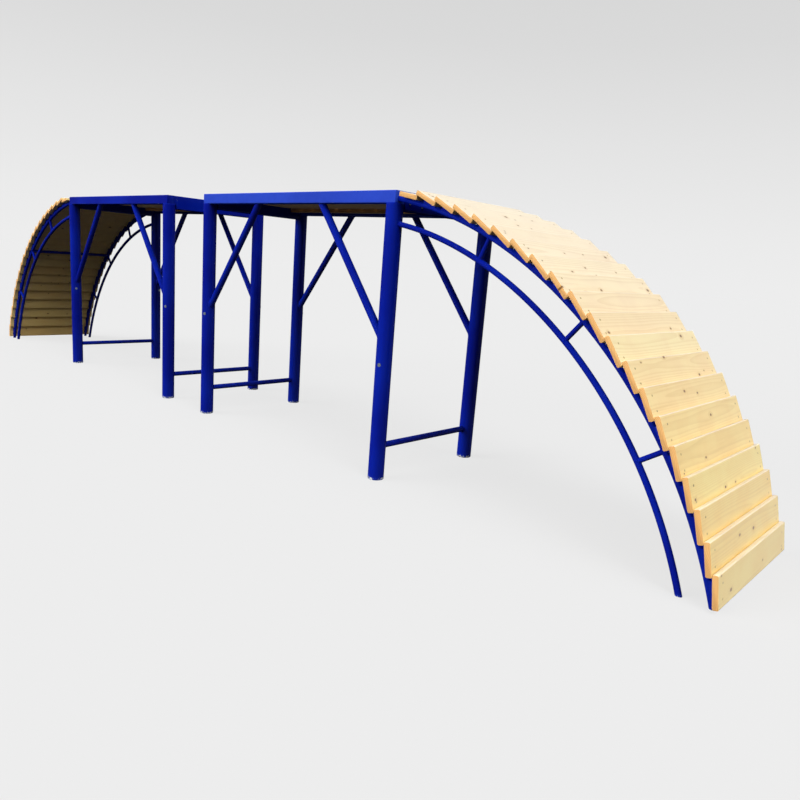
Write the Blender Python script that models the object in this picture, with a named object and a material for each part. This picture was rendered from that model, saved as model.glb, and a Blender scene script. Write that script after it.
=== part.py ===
"""Dog agility bridge in two mirrored halves with a jump gap between them.

Each half is a steel platform on four legs with an arched ramp of lapped pine boards.
Metres, +Z up. X runs along the bridge, Y across it, and the origin is on the ground
under the middle of the jump gap.
"""

import math

import bmesh
import bpy
from mathutils import Vector

# Platform sizes
PLATFORM_HEIGHT = 1.200
PLATFORM_LENGTH = 1.435
PLATFORM_WIDTH = 0.666
JUMP_GAP = 0.400
SIDE_RAIL_WIDTH = 0.050
SIDE_RAIL_HEIGHT = 0.050
END_RAIL_WIDTH = 0.050
END_RAIL_HEIGHT = 0.075
RAIL_CORNER = 0.004

# Leg, brace and ground bar sizes
LEG_DIAMETER = 0.070
LEG_FOOT_CHAMFER = 0.003
BRACE_DIAMETER = 0.0337
BRACE_REACH = 0.450
BRACE_FOOT_HEIGHT = 0.580
GROUND_BAR_DIAMETER = 0.0269
GROUND_BAR_HEIGHT = 0.145

# Arched truss sizes
ARCH_RUN = 1.392
ARCH_RADIUS = 1.721
ARCH_DROP = 0.003
CHORD_DIAMETER = 0.0213
CHORD_SPACING = 0.095
STRUT_DIAMETER = 0.0172
STRUT_COUNT = 3
CROSSBAR_DIAMETER = 0.0213
SEAT_WIDTH = 0.020
SEAT_NOSE = 0.012

# Board sizes
BOARD_LENGTH = 0.690
BOARD_WIDTH = 0.105
FIRST_BOARD_WIDTH = 0.094
BOARD_THICKNESS = 0.018
BOARD_EDGE_RADIUS = 0.004
BOARD_LEAST_LAP = 0.005
FIRST_BOARD_GAP = 0.028
BOARD_GROUND_CLEARANCE = 0.012

# Deck sizes
DECK_BOARD_WIDTH = 0.095
DECK_BOARD_THICKNESS = 0.018
DECK_LEAST_GAP = 0.003
DECK_SIDE_CLEARANCE = 0.002
DECK_BATTEN_WIDTH = 0.045
DECK_BATTEN_DEPTH = 0.020
LEDGE_WIDTH = 0.030
LEDGE_THICKNESS = 0.005

# Clearances: pieces that bear on each other, and how far welded pieces run into each other
SEAT_GAP = 0.0003
WELD_DEPTH = 0.001

# Facets, and the turn between faces from which an edge shows sharp
SHARP_TURN = math.radians(35)
LEG_SIDES = 24
TUBE_SIDES = 12
CHORD_SIDES = 10
BOARD_EDGE_STEPS = 2

# Places that follow from the sizes, in one half: x from the platform's gap end
LEG_XS = {"gap": END_RAIL_WIDTH / 2, "ramp": PLATFORM_LENGTH - END_RAIL_WIDTH / 2}
LEG_Y = PLATFORM_WIDTH / 2 - SIDE_RAIL_WIDTH / 2
RAIL_UNDERSIDE = PLATFORM_HEIGHT - SIDE_RAIL_HEIGHT
LEG_TOP = RAIL_UNDERSIDE - SEAT_GAP
ARCH_START_X = PLATFORM_LENGTH + SEAT_GAP
CHORD_RADIUS = CHORD_DIAMETER / 2
ARCH_TOP_Z = PLATFORM_HEIGHT - ARCH_DROP - BOARD_THICKNESS - SEAT_GAP - CHORD_RADIUS
DECK_UNDERSIDE = PLATFORM_HEIGHT - DECK_BOARD_THICKNESS
DECK_LENGTH = PLATFORM_LENGTH - 2 * END_RAIL_WIDTH
DECK_WIDTH = PLATFORM_WIDTH - 2 * SIDE_RAIL_WIDTH
RAIL_INNER_Y = DECK_WIDTH / 2

X_AXIS = Vector((1, 0, 0))
Y_AXIS = Vector((0, 1, 0))
Z_AXIS = Vector((0, 0, 1))


# Arch geometry

def arch_centre():
    """Centre of the chords' arcs, from the platform's end, the ramp's foot and the radius."""
    start = Vector((ARCH_START_X, 0, ARCH_TOP_Z))
    foot = Vector((ARCH_START_X + ARCH_RUN, 0, 0))
    half_span = (foot - start) / 2
    inward = Vector((half_span.z, 0, -half_span.x)).normalized()
    return start + half_span + inward * math.sqrt(ARCH_RADIUS**2 - half_span.length_squared)


ARCH_CENTRE = arch_centre()


def arch_point(radius, angle):
    """Point on an arc about the arch's centre; the angle runs from straight up towards +X."""
    return ARCH_CENTRE + Vector((radius * math.sin(angle), 0, radius * math.cos(angle)))


def arch_tangent(angle):
    """Direction down the arch at an angle."""
    return Vector((math.cos(angle), 0, -math.sin(angle)))


def angle_at_x(radius, x):
    return math.asin((x - ARCH_CENTRE.x) / radius)


def angle_at_z(radius, z):
    return math.acos((z - ARCH_CENTRE.z) / radius)


# Mesh helpers

def finished_mesh(bm, name):
    """Closes a bmesh into a mesh with outward faces and smooth round sides."""
    bmesh.ops.recalc_face_normals(bm, faces=bm.faces)
    mesh = bpy.data.meshes.new(name)
    bm.to_mesh(mesh)
    bm.free()
    mesh.shade_smooth()
    mesh.set_sharp_from_angle(angle=SHARP_TURN)
    return mesh


def onto_plane(point, normal):
    """Cut for a tube's end: slides a point along the tube to a plane."""
    def slide(start, direction):
        return start + direction * ((point - start).dot(normal) / direction.dot(normal))
    return slide


def onto_leg(leg_x, leg_y):
    """Cut for a tube's end: slides a point along the tube to just clear of a round leg."""
    reach = LEG_DIAMETER / 2 + SEAT_GAP

    def slide(start, direction):
        across = Vector((start.x - leg_x, start.y - leg_y))
        run = Vector((direction.x, direction.y))
        a = run.length_squared
        b = across.dot(run)
        c = across.length_squared - reach**2
        root = math.sqrt(b * b - a * c)
        nearest = min(((-b - root) / a, (-b + root) / a), key=abs)
        return start + direction * nearest
    return slide


def ring_points(centre, up, side, radius, sides):
    """Points round a tube; point k and point sides/2 - k lie equally far to the side."""
    points = []
    for k in range(sides):
        angle = 2 * math.pi * k / sides
        points.append(centre + radius * (math.cos(angle) * up + math.sin(angle) * side))
    return points


def close_ring(bm, ring):
    """Fills a tube's end with strips that follow a round cut as well as a flat one."""
    sides = len(ring)
    half = sides // 2
    for k in range(-(sides // 4), half - sides // 4):
        corners = [ring[k % sides], ring[(k + 1) % sides],
                   ring[(half - k - 1) % sides], ring[(half - k) % sides]]
        unique = list(dict.fromkeys(corners))
        if len(unique) > 2:
            bm.faces.new(unique)


def skin_rings(bm, rings):
    """Skins a tube over its rings of points and closes both ends."""
    loops = [[bm.verts.new(point) for point in ring] for ring in rings]
    sides = len(loops[0])
    for near, far in zip(loops, loops[1:]):
        for k in range(sides):
            bm.faces.new((near[k], near[(k + 1) % sides], far[(k + 1) % sides], far[k]))
    close_ring(bm, loops[0])
    close_ring(bm, loops[-1])


def straight_tube(name, start, end, diameter, sides, start_cut, end_cut):
    """A straight tube whose ends are cut to what they meet."""
    direction = (end - start).normalized()
    side = direction.cross(Z_AXIS)
    side = side.normalized() if side.length > 0.1 else Y_AXIS
    up = side.cross(direction)
    first = [start_cut(p, direction) for p in ring_points(start, up, side, diameter / 2, sides)]
    last = [end_cut(p, direction) for p in ring_points(end, up, side, diameter / 2, sides)]
    bm = bmesh.new()
    skin_rings(bm, [first, last])
    return finished_mesh(bm, name)


def arched_tube(name, radius, first_angle, last_angle, steps, start_cut, end_cut):
    """A chord of the truss: a tube bent to an arc about the arch's centre."""
    rings = []
    for step in range(steps + 1):
        angle = first_angle + (last_angle - first_angle) * step / steps
        outward = arch_point(1, angle) - ARCH_CENTRE
        ring = ring_points(arch_point(radius, angle), outward, Y_AXIS, CHORD_RADIUS, CHORD_SIDES)
        if step == 0:
            ring = [start_cut(point, arch_tangent(angle)) for point in ring]
        if step == steps:
            ring = [end_cut(point, arch_tangent(angle)) for point in ring]
        rings.append(ring)
    bm = bmesh.new()
    skin_rings(bm, rings)
    return finished_mesh(bm, name)


def box_bmesh(low, high):
    """A box between two corners."""
    bm = bmesh.new()
    bmesh.ops.create_cube(bm, size=1)
    size = high - low
    bmesh.ops.scale(bm, vec=size, verts=bm.verts)
    bmesh.ops.translate(bm, vec=(low + high) / 2, verts=bm.verts)
    return bm


def round_long_edges(bm, axis, radius, steps):
    """Rounds the four edges of a box that run along one axis."""
    edges = []
    for edge in bm.edges:
        run = (edge.verts[1].co - edge.verts[0].co).normalized()
        if abs(run.dot(axis)) > 0.99:
            edges.append(edge)
    bmesh.ops.bevel(bm, geom=edges, offset=radius, segments=steps, profile=0.5, affect="EDGES")


def prism_mesh(name, outline, drawn_by):
    """A flat outline drawn out evenly to both sides, by a vector across it in all."""
    bm = bmesh.new()
    corners = [bm.verts.new(point - drawn_by / 2) for point in outline]
    face = bm.faces.new(corners)
    drawn = bmesh.ops.extrude_face_region(bm, geom=[face])
    moved = [item for item in drawn["geom"] if isinstance(item, bmesh.types.BMVert)]
    bmesh.ops.translate(bm, vec=drawn_by, verts=moved)
    return finished_mesh(bm, name)


def welded_mesh(name, meshes):
    """Joins overlapping meshes into one solid, as their welds do."""
    parts = [bpy.data.objects.new(mesh.name, mesh) for mesh in meshes]
    for part in parts:
        bpy.context.scene.collection.objects.link(part)
    group = bpy.data.collections.new(name + "_pieces")
    for part in parts[1:]:
        group.objects.link(part)
    weld = parts[0].modifiers.new("weld", "BOOLEAN")
    weld.operation = "UNION"
    weld.solver = "EXACT"
    weld.operand_type = "COLLECTION"
    weld.collection = group
    depsgraph = bpy.context.evaluated_depsgraph_get()
    joined = bpy.data.meshes.new_from_object(parts[0].evaluated_get(depsgraph))
    joined.name = name
    for part in parts:
        bpy.data.objects.remove(part)
    bpy.data.collections.remove(group)
    joined.materials.clear()
    joined.shade_smooth()
    joined.set_sharp_from_angle(angle=SHARP_TURN)
    return joined


# Materials

def principled(name, colour, roughness, metallic=0.0):
    material = bpy.data.materials.new(name)
    material.use_nodes = True
    shader = material.node_tree.nodes["Principled BSDF"]
    shader.inputs["Base Color"].default_value = (*colour, 1)
    shader.inputs["Roughness"].default_value = roughness
    shader.inputs["Metallic"].default_value = metallic
    material.diffuse_color = (*colour, 1)
    return material


# Steel pieces of one half

def leg_mesh():
    """A round leg, chamfered round its foot, with its origin on the ground."""
    radius = LEG_DIAMETER / 2
    levels = [(radius - LEG_FOOT_CHAMFER, 0), (radius, LEG_FOOT_CHAMFER), (radius, LEG_TOP)]
    rings = [ring_points(Z_AXIS * z, X_AXIS, Y_AXIS, r, LEG_SIDES) for r, z in levels]
    bm = bmesh.new()
    skin_rings(bm, rings)
    return finished_mesh(bm, "leg")


def ground_bar_mesh():
    """The bar low down between the two legs of one end, coped to them."""
    axis_height = Z_AXIS * GROUND_BAR_HEIGHT
    legs_inner_side = LEG_Y - LEG_DIAMETER / 2
    front = axis_height - Y_AXIS * legs_inner_side
    back = axis_height + Y_AXIS * legs_inner_side
    return straight_tube("ground_bar", front, back, GROUND_BAR_DIAMETER, TUBE_SIDES,
                         onto_leg(0, -LEG_Y), onto_leg(0, LEG_Y))


def brace_mesh(name, end, side_sign):
    """A knee brace from a side rail's underside down to a leg."""
    inward = 1 if end == "gap" else -1
    leg_x = LEG_XS[end]
    y = side_sign * LEG_Y
    top = Vector((leg_x + inward * BRACE_REACH, y, RAIL_UNDERSIDE))
    crossing = Vector((leg_x, y, BRACE_FOOT_HEIGHT))
    slope = (top - crossing).normalized()
    bottom = crossing + slope * (LEG_DIAMETER / 2 / abs(slope.x))
    into_rail = onto_plane(top + Z_AXIS * WELD_DEPTH, Z_AXIS)
    return straight_tube(name, bottom, top, BRACE_DIAMETER, TUBE_SIDES,
                         onto_leg(leg_x, y), into_rail)


def side_rail_mesh(name, side_sign):
    """A square tube along one side of the platform, with its rolled corners."""
    middle = side_sign * LEG_Y
    low = Vector((0, middle - SIDE_RAIL_WIDTH / 2, RAIL_UNDERSIDE))
    high = Vector((PLATFORM_LENGTH, middle + SIDE_RAIL_WIDTH / 2, PLATFORM_HEIGHT))
    bm = box_bmesh(low, high)
    round_long_edges(bm, X_AXIS, RAIL_CORNER, 1)
    return finished_mesh(bm, name)


def end_rail_mesh(name, leg_x):
    """A deeper rail across one end, notched so that its lower part fits between the legs."""
    into_side_rail = RAIL_INNER_Y + WELD_DEPTH
    beside_leg = LEG_Y - LEG_DIAMETER / 2 - SEAT_GAP
    bottom = PLATFORM_HEIGHT - END_RAIL_HEIGHT
    half_outline = [(into_side_rail, PLATFORM_HEIGHT), (into_side_rail, RAIL_UNDERSIDE),
                    (beside_leg, RAIL_UNDERSIDE), (beside_leg, bottom)]
    outline = [Vector((leg_x, y, z)) for y, z in half_outline]
    outline += [Vector((leg_x, -y, z)) for y, z in reversed(half_outline)]
    return prism_mesh(name, outline, X_AXIS * END_RAIL_WIDTH)


def platform_frame_mesh():
    """Two side rails, two deeper end rails, the deck's ledges and four knee braces."""
    ledge_top = DECK_UNDERSIDE - SEAT_GAP
    pieces = []
    for side_sign, side in ((-1, "front"), (1, "back")):
        pieces.append(side_rail_mesh(side + "_side_rail", side_sign))
    for end, leg_x in LEG_XS.items():
        pieces.append(end_rail_mesh(end + "_end_rail", leg_x))
    for side_sign, side in ((-1, "front"), (1, "back")):
        fixed_edge = side_sign * (RAIL_INNER_Y + WELD_DEPTH)
        free_edge = side_sign * (RAIL_INNER_Y - LEDGE_WIDTH)
        low = Vector((END_RAIL_WIDTH - WELD_DEPTH, min(fixed_edge, free_edge),
                      ledge_top - LEDGE_THICKNESS))
        high = Vector((PLATFORM_LENGTH - END_RAIL_WIDTH + WELD_DEPTH,
                       max(fixed_edge, free_edge), ledge_top))
        pieces.append(finished_mesh(box_bmesh(low, high), side + "_ledge"))
        for end in LEG_XS:
            pieces.append(brace_mesh(f"{side}_{end}_brace", end, side_sign))
    return welded_mesh("platform_frame", pieces)


# Where each ramp board lies

def board_angle(point):
    return math.atan2(point.x - ARCH_CENTRE.x, point.z - ARCH_CENTRE.z)


def ramp_boards():
    """Lower inner corner, downhill direction and outward direction of every ramp board.

    The first board lies flat on the chords, about level with the platform. Every other board
    has its lower edge on the chords and its upper edge over the board above it.
    """
    seat_radius = ARCH_RADIUS + CHORD_RADIUS + SEAT_GAP
    upper_end_x = PLATFORM_LENGTH + FIRST_BOARD_GAP
    first_middle = angle_at_x(seat_radius, upper_end_x) + FIRST_BOARD_WIDTH / seat_radius / 2
    downhill = arch_tangent(first_middle)
    outward = arch_point(1, first_middle) - ARCH_CENTRE
    corner = arch_point(seat_radius, first_middle) + downhill * FIRST_BOARD_WIDTH / 2
    corner += downhill * (upper_end_x - (corner - downhill * FIRST_BOARD_WIDTH).x) / downhill.x
    places = [(corner, downhill, outward)]
    start = board_angle(corner)
    end = angle_at_z(seat_radius, BOARD_GROUND_CLEARANCE)
    widest_pitch = math.sqrt((BOARD_WIDTH - BOARD_LEAST_LAP)**2 - BOARD_THICKNESS**2)
    count = math.ceil((end - start) * seat_radius / widest_pitch)
    pitch = (end - start) / count
    for number in range(1, count + 1):
        lap_point = corner + outward * (BOARD_THICKNESS + SEAT_GAP)
        corner = arch_point(seat_radius, start + pitch * number)
        downhill = (corner - lap_point).normalized()
        outward = Vector((-downhill.z, 0, downhill.x))
        places.append((corner, downhill, outward))
    return places


RAMP_BOARDS = ramp_boards()


def board_mesh(name, width):
    """A planed board with rounded edges; its origin is on its lower inner edge."""
    low = Vector((-width, -BOARD_LENGTH / 2, 0))
    high = Vector((0, BOARD_LENGTH / 2, BOARD_THICKNESS))
    bm = box_bmesh(low, high)
    round_long_edges(bm, Y_AXIS, BOARD_EDGE_RADIUS, BOARD_EDGE_STEPS)
    return finished_mesh(bm, name)


def seat_mesh(name, above, place):
    """The steel wedge on a chord that holds up a board's upper edge."""
    corner, downhill, outward = place
    above_corner, above_downhill, _ = above
    clear_of_above = above_corner + above_downhill * 2 * SEAT_GAP
    face_point = corner - outward * SEAT_GAP
    end_cut = onto_plane(clear_of_above, above_downhill)
    face_top = end_cut(face_point, downhill)
    root_top = end_cut(arch_point(ARCH_RADIUS, board_angle(above_corner)), downhill)
    root_bottom = arch_point(ARCH_RADIUS, board_angle(corner))
    face_bottom = face_point - downhill * SEAT_NOSE
    root_bottom -= arch_tangent(board_angle(corner)) * SEAT_NOSE
    return prism_mesh(name, [root_top, face_top, face_bottom, root_bottom], Y_AXIS * SEAT_WIDTH)


def truss_pieces():
    """Both chords, the struts and the board seats of one truss, in the plane y = 0."""
    ground = onto_plane(Vector((0, 0, 0)), Z_AXIS)
    platform_end = onto_plane(Vector((ARCH_START_X, 0, 0)), X_AXIS)
    outer_start = angle_at_x(ARCH_RADIUS, ARCH_START_X)
    outer_end = angle_at_z(ARCH_RADIUS, 0)
    inner_radius = ARCH_RADIUS - CHORD_SPACING
    leg_side_x = LEG_XS["ramp"] + LEG_DIAMETER / 2
    inner_start = angle_at_x(inner_radius, leg_side_x)
    inner_end = angle_at_z(inner_radius, 0)
    steps = len(RAMP_BOARDS)
    pieces = [
        arched_tube("outer_chord", ARCH_RADIUS, outer_start, outer_end, steps,
                    platform_end, ground),
        arched_tube("inner_chord", inner_radius, inner_start, inner_end, steps,
                    onto_leg(LEG_XS["ramp"], 0), ground),
    ]
    for number in range(1, STRUT_COUNT + 1):
        angle = outer_start + (outer_end - outer_start) * number / (STRUT_COUNT + 1)
        inner = arch_point(inner_radius, angle)
        outer = arch_point(ARCH_RADIUS, angle)
        along = outer - inner
        pieces.append(straight_tube(f"strut_{number}", inner, outer, STRUT_DIAMETER, CHORD_SIDES,
                                    onto_plane(inner, along), onto_plane(outer, along)))
    for index in range(1, len(RAMP_BOARDS)):
        pieces.append(seat_mesh(f"seat_{index:02d}", RAMP_BOARDS[index - 1], RAMP_BOARDS[index]))
    return pieces


def truss_mesh():
    return welded_mesh("truss", truss_pieces())


def truss_with_crossbar_mesh():
    """A truss with the crossbar that ties it to the other truss, running towards -Y."""
    middle_angle = (angle_at_x(ARCH_RADIUS, ARCH_START_X) + angle_at_z(ARCH_RADIUS, 0)) / 2
    middle = arch_point(ARCH_RADIUS, middle_angle)
    reach = 2 * LEG_Y - CHORD_RADIUS - SEAT_GAP
    far_end = middle - Y_AXIS * reach
    crossbar = straight_tube("crossbar", far_end, middle, CROSSBAR_DIAMETER, CHORD_SIDES,
                             onto_plane(far_end, Y_AXIS), onto_plane(middle, Y_AXIS))
    return welded_mesh("truss_with_crossbar", truss_pieces() + [crossbar])


def deck_mesh():
    """Deck boards across the platform, screwed to two battens; origin at the deck's middle."""
    half_length = DECK_LENGTH / 2 - DECK_SIDE_CLEARANCE
    half_width = DECK_WIDTH / 2 - DECK_SIDE_CLEARANCE
    count = int((2 * half_length + DECK_LEAST_GAP) / (DECK_BOARD_WIDTH + DECK_LEAST_GAP))
    pitch = (2 * half_length - DECK_BOARD_WIDTH) / (count - 1)
    pieces = []
    for index in range(count):
        x = -half_length + pitch * index
        low = Vector((x, -half_width, -DECK_BOARD_THICKNESS))
        high = Vector((x + DECK_BOARD_WIDTH, half_width, 0))
        bm = box_bmesh(low, high)
        round_long_edges(bm, Y_AXIS, BOARD_EDGE_RADIUS, 1)
        pieces.append(finished_mesh(bm, f"deck_board_{index + 1:02d}"))
    for side_sign in (-1, 1):
        outer = side_sign * (half_width - LEDGE_WIDTH)
        inner = outer - side_sign * DECK_BATTEN_WIDTH
        low = Vector((-half_length, min(outer, inner), -DECK_BOARD_THICKNESS - DECK_BATTEN_DEPTH))
        high = Vector((half_length, max(outer, inner), -DECK_BOARD_THICKNESS + WELD_DEPTH))
        pieces.insert(0, finished_mesh(box_bmesh(low, high), "deck_batten"))
    return welded_mesh("deck", pieces)


# Putting the halves together

def place_object(name, mesh, half, location, rotation_y=0.0):
    """A named piece of one half, placed in the half's own axes."""
    piece = bpy.data.objects.new(name, mesh)
    bpy.context.scene.collection.objects.link(piece)
    piece.parent = half
    piece.location = location
    piece.rotation_euler = (0, rotation_y, 0)
    return piece


def half_empty(name, x, turn):
    """The empty that carries one half: its origin is under the platform's gap end."""
    half = bpy.data.objects.new(name, None)
    bpy.context.scene.collection.objects.link(half)
    half.location = (x, 0, 0)
    half.rotation_euler = (0, 0, turn)
    return half


def assemble_half(prefix, half, meshes, sides):
    """All pieces of one half. sides names its -Y side and its +Y side as seen in place."""
    minus_side, plus_side = sides
    place_object(prefix + "_platform_frame", meshes["frame"], half, (0, 0, 0))
    deck_place = (PLATFORM_LENGTH / 2, 0, PLATFORM_HEIGHT)
    place_object(prefix + "_deck", meshes["deck"], half, deck_place)
    for end, leg_x in LEG_XS.items():
        for side, leg_y in ((minus_side, -LEG_Y), (plus_side, LEG_Y)):
            place_object(f"{prefix}_leg_{end}_{side}", meshes["leg"], half, (leg_x, leg_y, 0))
        place_object(f"{prefix}_ground_bar_{end}", meshes["ground_bar"], half, (leg_x, 0, 0))
    place_object(f"{prefix}_truss_{minus_side}", meshes["truss"], half, (0, -LEG_Y, 0))
    place_object(f"{prefix}_truss_{plus_side}", meshes["truss_with_crossbar"], half,
                 (0, LEG_Y, 0))
    for number, (corner, downhill, _) in enumerate(RAMP_BOARDS, start=1):
        slope = math.atan2(-downhill.z, downhill.x)
        board = meshes["first_board" if number == 1 else "board"]
        place_object(f"{prefix}_board_{number:02d}", board, half, corner, slope)


def main():
    for old in list(bpy.data.objects):
        bpy.data.objects.remove(old)
    blue_paint = principled("blue_paint", (0.02, 0.05, 0.42), 0.25)
    ramp_pine = principled("ramp_pine", (0.86, 0.62, 0.33), 0.55)
    deck_pine = principled("deck_pine", (0.80, 0.57, 0.30), 0.60)
    meshes = {
        "frame": platform_frame_mesh(),
        "deck": deck_mesh(),
        "leg": leg_mesh(),
        "ground_bar": ground_bar_mesh(),
        "truss": truss_mesh(),
        "truss_with_crossbar": truss_with_crossbar_mesh(),
        "first_board": board_mesh("first_ramp_board", FIRST_BOARD_WIDTH),
        "board": board_mesh("ramp_board", BOARD_WIDTH),
    }
    woods = {"deck": deck_pine, "first_board": ramp_pine, "board": ramp_pine}
    for kind, mesh in meshes.items():
        mesh.materials.append(woods.get(kind, blue_paint))
    near = half_empty("near_half", JUMP_GAP / 2, 0)
    far = half_empty("far_half", -JUMP_GAP / 2, math.pi)
    assemble_half("near", near, meshes, ("front", "back"))
    assemble_half("far", far, meshes, ("back", "front"))


main()
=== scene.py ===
"""Looks of a dog agility bridge: two blue platforms with arched ramps of lapped pine boards."""

import math
import random

import bmesh
import bpy
from mathutils import Matrix, Vector


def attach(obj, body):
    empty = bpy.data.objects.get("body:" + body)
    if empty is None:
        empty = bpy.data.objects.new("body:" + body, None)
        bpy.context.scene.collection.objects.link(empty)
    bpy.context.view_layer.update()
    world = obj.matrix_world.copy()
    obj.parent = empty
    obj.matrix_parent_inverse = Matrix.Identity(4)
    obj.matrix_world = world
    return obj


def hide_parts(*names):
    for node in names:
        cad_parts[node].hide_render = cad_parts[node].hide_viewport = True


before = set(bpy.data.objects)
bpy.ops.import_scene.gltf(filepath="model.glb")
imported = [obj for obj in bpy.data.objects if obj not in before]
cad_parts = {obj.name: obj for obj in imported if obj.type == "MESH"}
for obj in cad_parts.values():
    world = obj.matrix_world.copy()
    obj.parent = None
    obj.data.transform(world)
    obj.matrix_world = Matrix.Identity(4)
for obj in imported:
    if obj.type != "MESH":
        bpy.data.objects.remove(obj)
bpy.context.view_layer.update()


# THE TWO HALVES
# The bridge stands in two equal halves with a gap between them that the dog jumps. The far half
# is the near half turned round, so every piece is drawn once in a half's own axes: x from the
# platform's gap end towards the ramp, y across, z up from the ground.

PLATFORM_HEIGHT = 1.200
PLATFORM_LENGTH = 1.435
PLATFORM_WIDTH = 0.666
JUMP_GAP = 0.400
SEAT_GAP = 0.0003

HALF_PLACES = {
    "near": Matrix.Translation((JUMP_GAP / 2, 0, 0)),
    "far": Matrix.Translation((-JUMP_GAP / 2, 0, 0)) @ Matrix.Rotation(math.pi, 4, "Z"),
}


def side_of(half, y):
    """The front is the bridge's -Y side, which is the far half's own +y side."""
    return "front" if (y < 0) == (half == "near") else "back"


def put_in_half(name, shell, finish, half, slot, *stands_for, at=Matrix.Identity(4)):
    """Sets a drawn piece into its half, in place of the plain solids that it stands for."""
    piece = bpy.data.objects.new(name, shell.mesh(name, finish))
    bpy.context.scene.collection.objects.link(piece)
    piece.matrix_world = HALF_PLACES[half] @ at
    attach(piece, half + "_half")
    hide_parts(*stands_for)


# LEGS
# Each half stands on four legs of 70 mm round steel tube, sawn square and open at the foot. The
# rails lie over their closed tops and are welded on, and each leg shows one low bolt head just
# below its brace. Everything steel is sprayed with a thick gloss ultramarine paint.

SIDE_RAIL_SIZE = 0.050
END_RAIL_WIDTH = 0.050
LEG_RADIUS = 0.035
LEG_WALL = 0.003
LEG_TOP = PLATFORM_HEIGHT - SIDE_RAIL_SIZE - SEAT_GAP
LEG_XS = {"gap": END_RAIL_WIDTH / 2, "ramp": PLATFORM_LENGTH - END_RAIL_WIDTH / 2}
LEG_Y = PLATFORM_WIDTH / 2 - SIDE_RAIL_SIZE / 2
INWARD = {"gap": 1, "ramp": -1}
X_AXIS = Vector((1, 0, 0))
Y_AXIS = Vector((0, 1, 0))
Z_AXIS = Vector((0, 0, 1))
LEG_SIDES = 72
LEG_WELD = 0.0026
# Height above the ground, loss of radius and wear: from inside the open foot, round its sawn
# rim and up the outside.
LEG_FOOT = ((0.060, LEG_WALL, 0.0), (0.0015, LEG_WALL, 0.0), (0.0002, LEG_WALL - 0.0008, 1.0),
            (0.0, 0.0015, 1.0), (0.0006, 0.0004, 1.0), (0.0022, 0.0, 1.0), (0.0075, 0.0, 1.0),
            (0.016, 0.0, 0.75), (0.040, 0.0, 0.3), (0.070, 0.0, 0.0))
LEG_STOPS = (0.25, 0.45, 0.65, 0.85, 1.05)
# Depth below the leg's top, loss of radius and wear.
LEG_HEAD = ((0.006, 0.0, 0.0), (0.0015, 0.0, 0.6), (0.0003, 0.0006, 0.8), (0.0, 0.002, 0.4))
# How many degrees a bolt looks from straight out towards the near end, and its height.
LEG_BOLTS = {("near", "gap"): (23, 0.565), ("near", "ramp"): (12, 0.500),
             ("far", "gap"): (30, 0.560), ("far", "ramp"): (68, 0.554)}
LEG_BOLT_WIDTH = 0.015
LEG_BOLT_HEIGHT = 0.0026
LEG_BOLT_SINK = 0.0018
BEAD_PITCH = 0.0035
BEAD_RIPPLE = 0.13
BEAD_END_SHARE = 0.4
BEAD_SIDES = 8
SHARP_TURN = math.radians(38)
PATTERN_REACH = 9


class Shell:
    """Points and faces of a piece while it is drawn. Wear, from 0 to 1, is where paint rubs off."""

    def __init__(self):
        self.points = []
        self.wear = []
        self.faces = []

    def ring(self, points, wear=0.0):
        """Adds a closed ring of points and returns their numbers."""
        first = len(self.points)
        self.points += [Vector(point) for point in points]
        self.wear += wear if isinstance(wear, list) else [wear] * len(points)
        return list(range(first, len(self.points)))

    def skin(self, rings, closed=False):
        """Skins a tube over rings of equally many points; it is a closed loop or has two lids."""
        pairs = list(zip(rings, rings[1:]))
        if closed:
            pairs.append((rings[-1], rings[0]))
        for near, far in pairs:
            count = len(near)
            for k in range(count):
                after = (k + 1) % count
                self.faces.append((near[k], near[after], far[after], far[k]))
        if not closed:
            self.faces += [tuple(rings[0]), tuple(rings[-1])]

    def mesh(self, name, finish):
        """The finished mesh; its shift moves the finish's pattern, so that no two are alike."""
        shift = [pattern_places.uniform(-PATTERN_REACH, PATTERN_REACH) for _ in range(3)]
        mesh = bpy.data.meshes.new(name)
        mesh.from_pydata(self.points, [], self.faces)
        solid = bmesh.new()
        solid.from_mesh(mesh)
        bmesh.ops.recalc_face_normals(solid, faces=solid.faces)
        solid.to_mesh(mesh)
        solid.free()
        wear = mesh.attributes.new("wear", "FLOAT", "POINT")
        wear.data.foreach_set("value", self.wear)
        moved = mesh.attributes.new("shift", "FLOAT_VECTOR", "POINT")
        moved.data.foreach_set("vector", shift * len(self.points))
        mesh.shade_smooth()
        mesh.set_sharp_from_angle(angle=SHARP_TURN)
        mesh.materials.append(finish)
        return mesh


pattern_places = random.Random(11)


def square_to(axis):
    """Two unit directions square to an axis and to each other."""
    first = axis.orthogonal().normalized()
    return first, axis.cross(first)


def circle(centre, first, second, radius, sides):
    """Points of a circle spanned by two unit vectors."""
    turns = [2 * math.pi * k / sides for k in range(sides)]
    return [centre + radius * (math.cos(turn) * first + math.sin(turn) * second) for turn in turns]


def lathe(shell, foot, axis, profile, sides):
    """Turns a profile of (height, radius, wear) about an axis, with a lid on both ends."""
    first, second = square_to(axis)
    shell.skin([shell.ring(circle(foot + axis * height, first, second, radius, sides), wear)
                for height, radius, wear in profile])


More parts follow.
